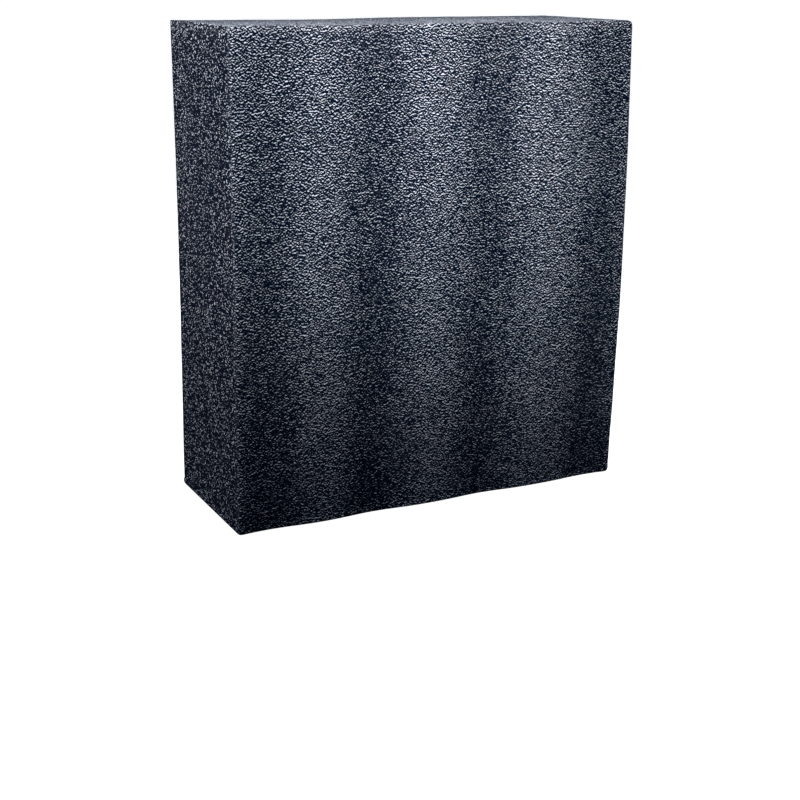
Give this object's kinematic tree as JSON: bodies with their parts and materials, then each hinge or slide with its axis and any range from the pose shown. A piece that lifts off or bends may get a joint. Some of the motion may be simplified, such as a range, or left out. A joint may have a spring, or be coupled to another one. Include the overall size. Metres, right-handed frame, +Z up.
{
  "type": "foam block",
  "caption": "Rectangular block of charcoal closed-cell polyethylene foam, with softly waved skins front and back and sawn sides, for padding, propping or cutting to shape.",
  "frame": {"origin": "middle of the bottom face, on the surface that the block stands on", "axes": "+Z up, along the direction of extrusion and the hollows of the skins; +X to the right across the width; +Y from the front skin to the back skin"},
  "size_m": [0.203, 0.076, 0.221],
  "materials": {
    "foam": "pebbled closed-cell skin front and back with a faint sheen, matt fine-grained saw cuts on the sides, top and bottom"
  },
  "bodies": {
    "root": {"foam_block": "foam"}
  },
  "joints": []
}
